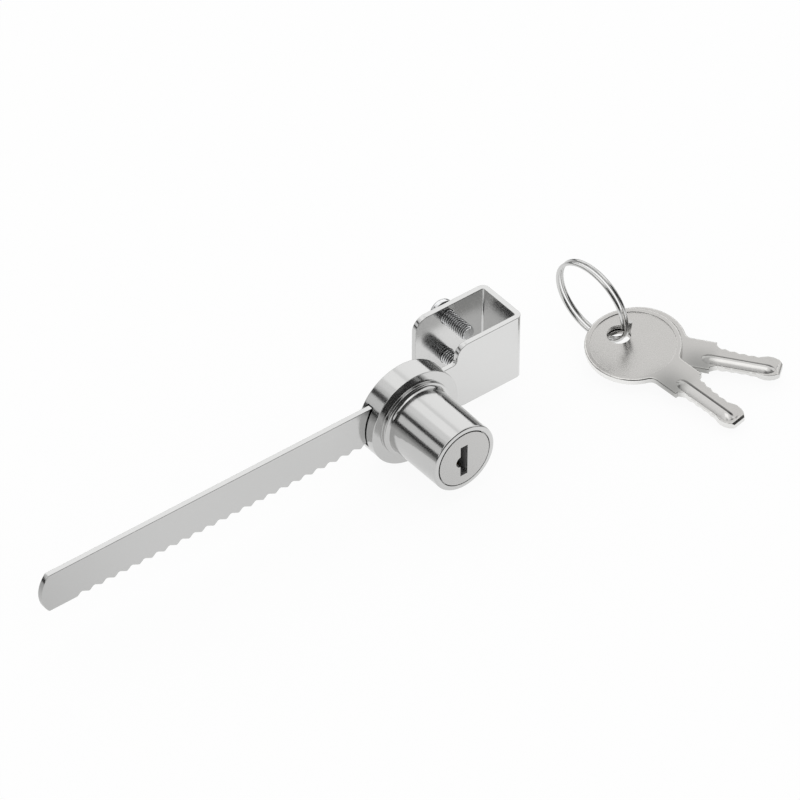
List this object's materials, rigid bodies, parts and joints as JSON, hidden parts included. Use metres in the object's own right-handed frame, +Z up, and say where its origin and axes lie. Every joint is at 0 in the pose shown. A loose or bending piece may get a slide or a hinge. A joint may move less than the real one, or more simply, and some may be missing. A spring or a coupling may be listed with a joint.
{
  "type": "sliding glass door lock",
  "caption": "Ratchet lock for sliding glass doors: a toothed bar with a screw clamp for the glass edge, a keyed barrel lock sliding on it, and keys on a split ring.",
  "frame": {"origin": "centre of the inner face of the clamp's end wall, where the glass edge butts", "axes": "+X along the toothed bar from its free end towards the clamp's end wall, +Z up with the teeth below, the lock barrel and key face towards -Y"},
  "size_m": [0.2033, 0.0625, 0.0268],
  "materials": {
    "bar_nickel": "bright nickel-plated steel strip",
    "lock_chrome": "bright plated zinc casting",
    "plug_satin": "satin plated plug face",
    "screw_steel": "zinc-plated steel",
    "inner_steel": "plain steel, hidden",
    "spring_steel": "spring wire",
    "wafer_brass": "stamped brass",
    "key_nickel": "nickel-plated key blank, softly worn",
    "ring_nickel": "bright plated wire"
  },
  "bodies": {
    "bar": {"ratchet_bar": "bar_nickel"},
    "screw_upper": {"clamp_screw_upper": "screw_steel"},
    "screw_lower": {"clamp_screw_lower": "screw_steel"},
    "lock": {"lock_housing": "lock_chrome", "back_cover": "screw_steel", "cover_screws": "screw_steel", "bolt_spring": "spring_steel"},
    "plug": {"lock_plug": "plug_satin", "drive_cam": "inner_steel", "cam_screw": "inner_steel", "wafer_spring_1": "spring_steel", "wafer_spring_2": "spring_steel", "wafer_spring_3": "spring_steel", "wafer_spring_4": "spring_steel", "wafer_spring_5": "spring_steel"},
    "bolt": {"lock_bolt": "inner_steel"},
    "wafer_1": {"wafer_1": "wafer_brass"},
    "wafer_2": {"wafer_2": "wafer_brass"},
    "wafer_3": {"wafer_3": "wafer_brass"},
    "wafer_4": {"wafer_4": "wafer_brass"},
    "wafer_5": {"wafer_5": "wafer_brass"},
    "ring": {"split_ring": "ring_nickel"},
    "key_front": {"key_front": "key_nickel"},
    "key_back": {"key_back": "key_nickel"}
  },
  "joints": [
    {"name": "lock_slide", "type": "slide", "parent": "bar", "child": "lock", "axis": [1, 0, 0], "range_m": [-0.13, 0]},
    {"name": "clamp_screw_upper_slide", "type": "slide", "parent": "bar", "child": "screw_upper", "axis": [0, 1, 0], "range_m": [0, 0.0075]},
    {"name": "clamp_screw_lower_slide", "type": "slide", "parent": "bar", "child": "screw_lower", "axis": [0, 1, 0], "range_m": [0, 0.0075]},
    {"name": "plug_turn", "type": "hinge", "parent": "lock", "child": "plug", "pos_m": [-0.0347, -0.0198, -0.00229], "axis": [0, 1, 0], "range_deg": [0, 180]},
    {"name": "bolt_lift", "type": "slide", "parent": "lock", "child": "bolt", "axis": [0, 0, 1], "range_m": [0, 0.0016], "deforming": ["bolt_spring"]},
    {"name": "wafer_1_slide", "type": "slide", "parent": "plug", "child": "wafer_1", "axis": [0, 0, 1], "range_m": [0, 0.0007], "deforming": ["wafer_spring_1"]},
    {"name": "wafer_2_slide", "type": "slide", "parent": "plug", "child": "wafer_2", "axis": [0, 0, -1], "range_m": [0, 0.0007], "deforming": ["wafer_spring_2"]},
    {"name": "wafer_3_slide", "type": "slide", "parent": "plug", "child": "wafer_3", "axis": [0, 0, 1], "range_m": [0, 0.0007], "deforming": ["wafer_spring_3"]},
    {"name": "wafer_4_slide", "type": "slide", "parent": "plug", "child": "wafer_4", "axis": [0, 0, -1], "range_m": [0, 0.0007], "deforming": ["wafer_spring_4"]},
    {"name": "wafer_5_slide", "type": "slide", "parent": "plug", "child": "wafer_5", "axis": [0, 0, 1], "range_m": [0, 0.0007], "deforming": ["wafer_spring_5"]},
    {"name": "keys_lift", "type": "slide", "parent": "bar", "child": "ring", "axis": [0, 0, 1], "range_m": [0, 0.03]},
    {"name": "key_front_swivel", "type": "hinge", "parent": "ring", "child": "key_front", "pos_m": [0.0299, -0.0108, -0.0094], "axis": [-0.0978, -0.0778, 0.9922], "range_deg": [-15, 5]},
    {"name": "key_back_swivel", "type": "hinge", "parent": "ring", "child": "key_back", "pos_m": [0.0299, -0.0108, -0.0094], "axis": [-0.0978, -0.0778, 0.9922], "range_deg": [-5, 15]}
  ],
  "couplings": [
    {"joint": "bolt_lift", "follows": "plug_turn", "m_per_rad": 0.000509}
  ]
}
